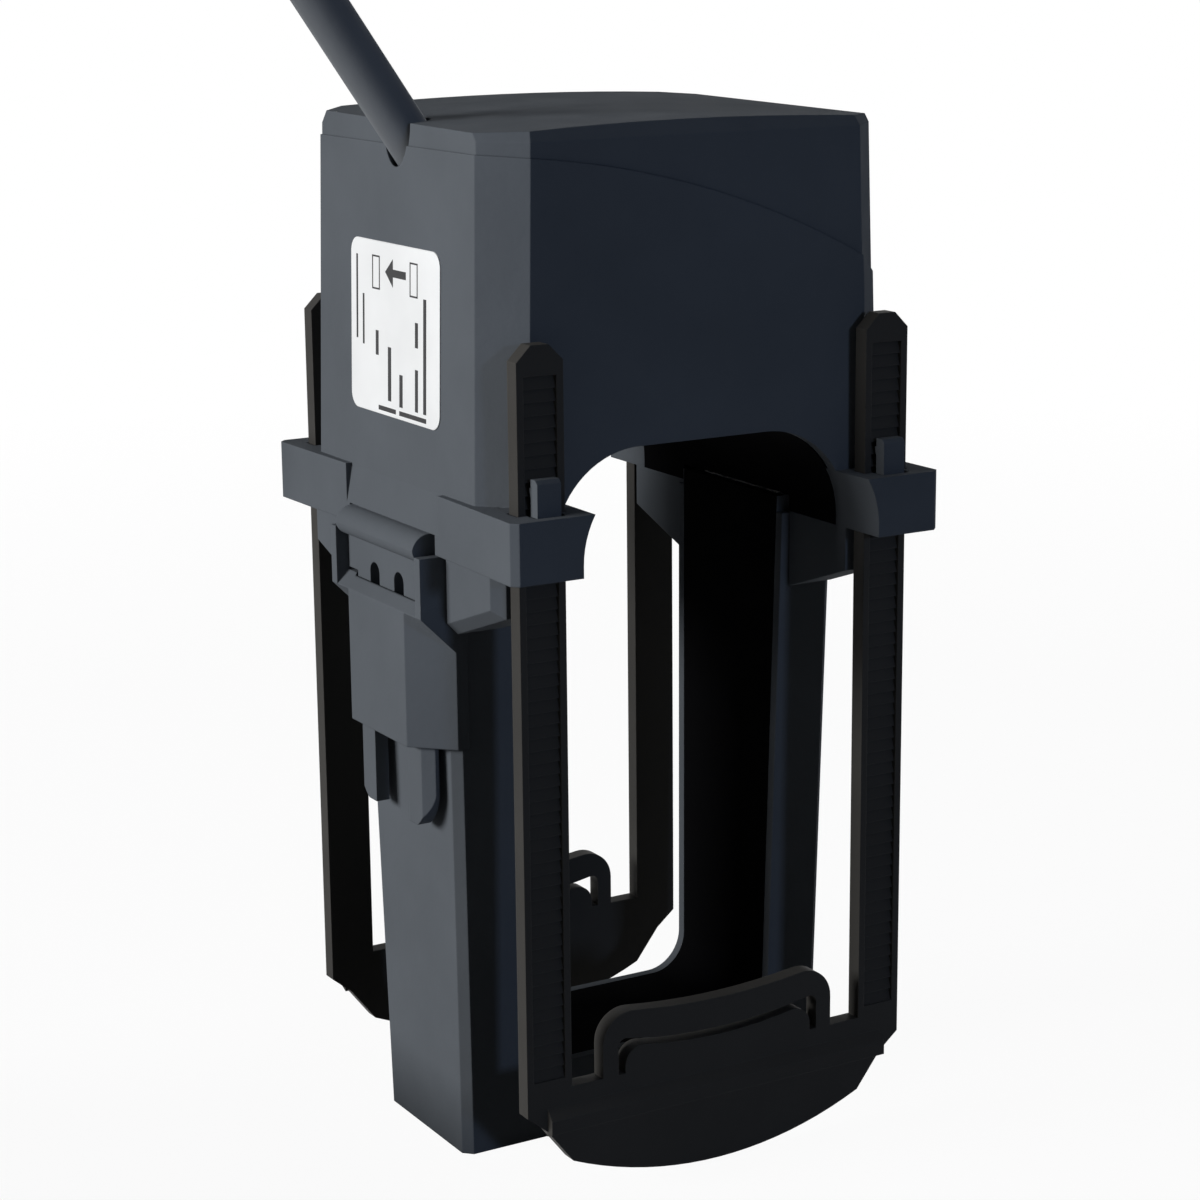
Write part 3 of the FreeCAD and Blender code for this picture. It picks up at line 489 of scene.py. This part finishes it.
# The two clamping frames are tough black polyamide, glossier than the housing. Each has two straps with
# saw teeth between smooth rails, a cross plate with a rib, and a springy loop that presses on the
# conductor, all in one moulding.
# Its strongly paler edges are partly wear and partly a painted highlight along the rounded rims.
frame_black = moulded_plastic(
    "frame_black",
    colour=(0.049, 0.047, 0.044),
    roughness=0.50,
    grain_scale=600,
    grain_depth=0.00003,
    specular=0.03,
    wear_and_rim_highlight=0.30,
    edge_radius=0.00025,
)
finish_node("front_ratchet_frame", frame_black)
finish_node("back_ratchet_frame", frame_black)


# The transformer stands on a thin clear sheet in a white studio, so that the lower half still shows when
# it is pulled down through it. The sheet is faintly pale round the transformer, where it takes its shadow,
# and the light that it throws back is that of a dull grey floor.
def ray_is_any(tree, kinds):
    """Adds a test of the kind of ray, and returns 1 for those named and 0 for all others."""
    ray = tree.nodes.new("ShaderNodeLightPath")
    found = ray.outputs[kinds[0]]
    for kind in kinds[1:]:
        either = tree.nodes.new("ShaderNodeMath")
        either.operation = "MAXIMUM"
        tree.links.new(found, either.inputs[0])
        tree.links.new(ray.outputs[kind], either.inputs[1])
        found = either.outputs["Value"]
    return found


def diffuse(tree, grey):
    shader = tree.nodes.new("ShaderNodeBsdfDiffuse")
    shader.inputs["Color"].default_value = (grey, grey, grey, 1)
    return shader.outputs["BSDF"]


def mix_shaders(tree, share, first, second):
    mix = tree.nodes.new("ShaderNodeMixShader")
    tree.links.new(share, mix.inputs["Fac"])
    tree.links.new(first, mix.inputs[1])
    tree.links.new(second, mix.inputs[2])
    return mix.outputs["Shader"]


floor_reach = 12.0
sheet_pale_share = 0.05
sheet_pale_to = 0.25
sheet_clear_from = 0.60
sheet_grey = 0.9
floor_grey = 0.25

floor_corners = [
    (-floor_reach, -floor_reach, floor_z),
    (floor_reach, -floor_reach, floor_z),
    (floor_reach, floor_reach, floor_z),
    (-floor_reach, floor_reach, floor_z),
]
floor_mesh = bpy.data.meshes.new("studio_floor")
floor_mesh.from_pydata(floor_corners, [], [(0, 1, 2, 3)])
floor = bpy.data.objects.new("studio_floor", floor_mesh)
scene.collection.objects.link(floor)

floor_white = bpy.data.materials.new("studio_floor_white")
floor_white.use_nodes = True
floor_tree = floor_white.node_tree
floor_tree.nodes.remove(floor_tree.nodes["Principled BSDF"])
floor_place = floor_tree.nodes.new("ShaderNodeTexCoord")
distance = floor_tree.nodes.new("ShaderNodeVectorMath")
distance.operation = "LENGTH"
floor_tree.links.new(floor_place.outputs["Object"], distance.inputs[0])
pale_share = add_range(
    floor_tree, distance.outputs["Value"], sheet_pale_to, sheet_clear_from, sheet_pale_share, 0
)
clear = floor_tree.nodes.new("ShaderNodeBsdfTransparent").outputs["BSDF"]
sheet = mix_shaders(floor_tree, pale_share, clear, diffuse(floor_tree, sheet_grey))
seen = ray_is_any(floor_tree, ("Is Camera Ray", "Is Glossy Ray", "Is Transmission Ray", "Is Shadow Ray"))
floor_surface = mix_shaders(floor_tree, seen, diffuse(floor_tree, floor_grey), sheet)
floor_tree.links.new(floor_surface, floor_tree.nodes["Material Output"].inputs["Surface"])
floor_mesh.materials.append(floor_white)

# The room is plain white to look at and in reflections. The light that it gives is weak and cool, so
# that the lamps alone set the tones.
room_colour = (0.75, 0.88, 1.0)
room_strength = 0.015

world = bpy.data.worlds.new("studio")
scene.world = world
world.use_nodes = True
world_tree = world.node_tree
room = world_tree.nodes["Background"]
room.inputs["Color"].default_value = (*room_colour, 1)
room.inputs["Strength"].default_value = room_strength
white = world_tree.nodes.new("ShaderNodeBackground")
white.inputs["Color"].default_value = (1, 1, 1, 1)
white.inputs["Strength"].default_value = 1
seen = ray_is_any(world_tree, ("Is Camera Ray", "Is Glossy Ray", "Is Transmission Ray"))
room_surface = mix_shaders(world_tree, seen, room.outputs["Background"], white.outputs["Background"])
world_tree.links.new(room_surface, world_tree.nodes["World Output"].inputs["Surface"])


# A wide soft lamp lights the left side, and a weak, cool one fills in the front. A low one behind the
# transformer lights the right side and the back, which the catalogue picture doesn't show.
def soft_lamp(name, place, aim, width, height, power, colour):
    """A soft lamp that shines from its place at its aim, out of sight of the camera and of shiny surfaces."""
    lamp_data = bpy.data.lights.new(name, "AREA")
    lamp_data.shape = "RECTANGLE"
    lamp_data.size = width
    lamp_data.size_y = height
    lamp_data.energy = power
    lamp_data.color = colour
    lamp = bpy.data.objects.new(name, lamp_data)
    lamp.location = place
    lamp.rotation_euler = (Vector(aim) - Vector(place)).to_track_quat("-Z", "Y").to_euler()
    lamp.visible_camera = False
    lamp.visible_glossy = False
    scene.collection.objects.link(lamp)


soft_lamp(
    "side_lamp",
    place=(-1.29, 0.20, 0.40),
    aim=(0, 0, 0.01),
    width=0.60,
    height=0.32,
    power=17.6,
    colour=(1, 1, 1),
)
soft_lamp(
    "front_lamp",
    place=(0.05, -1.5, 0.36),
    aim=(0, 0, 0.03),
    width=0.12,
    height=0.12,
    power=2.85,
    colour=(0.54, 0.69, 1.0),
)
soft_lamp(
    "back_lamp",
    place=(0.85, 1.15, 0.09),
    aim=(0, 0, 0.03),
    width=0.60,
    height=0.22,
    power=11.0,
    colour=(1, 1, 1),
)
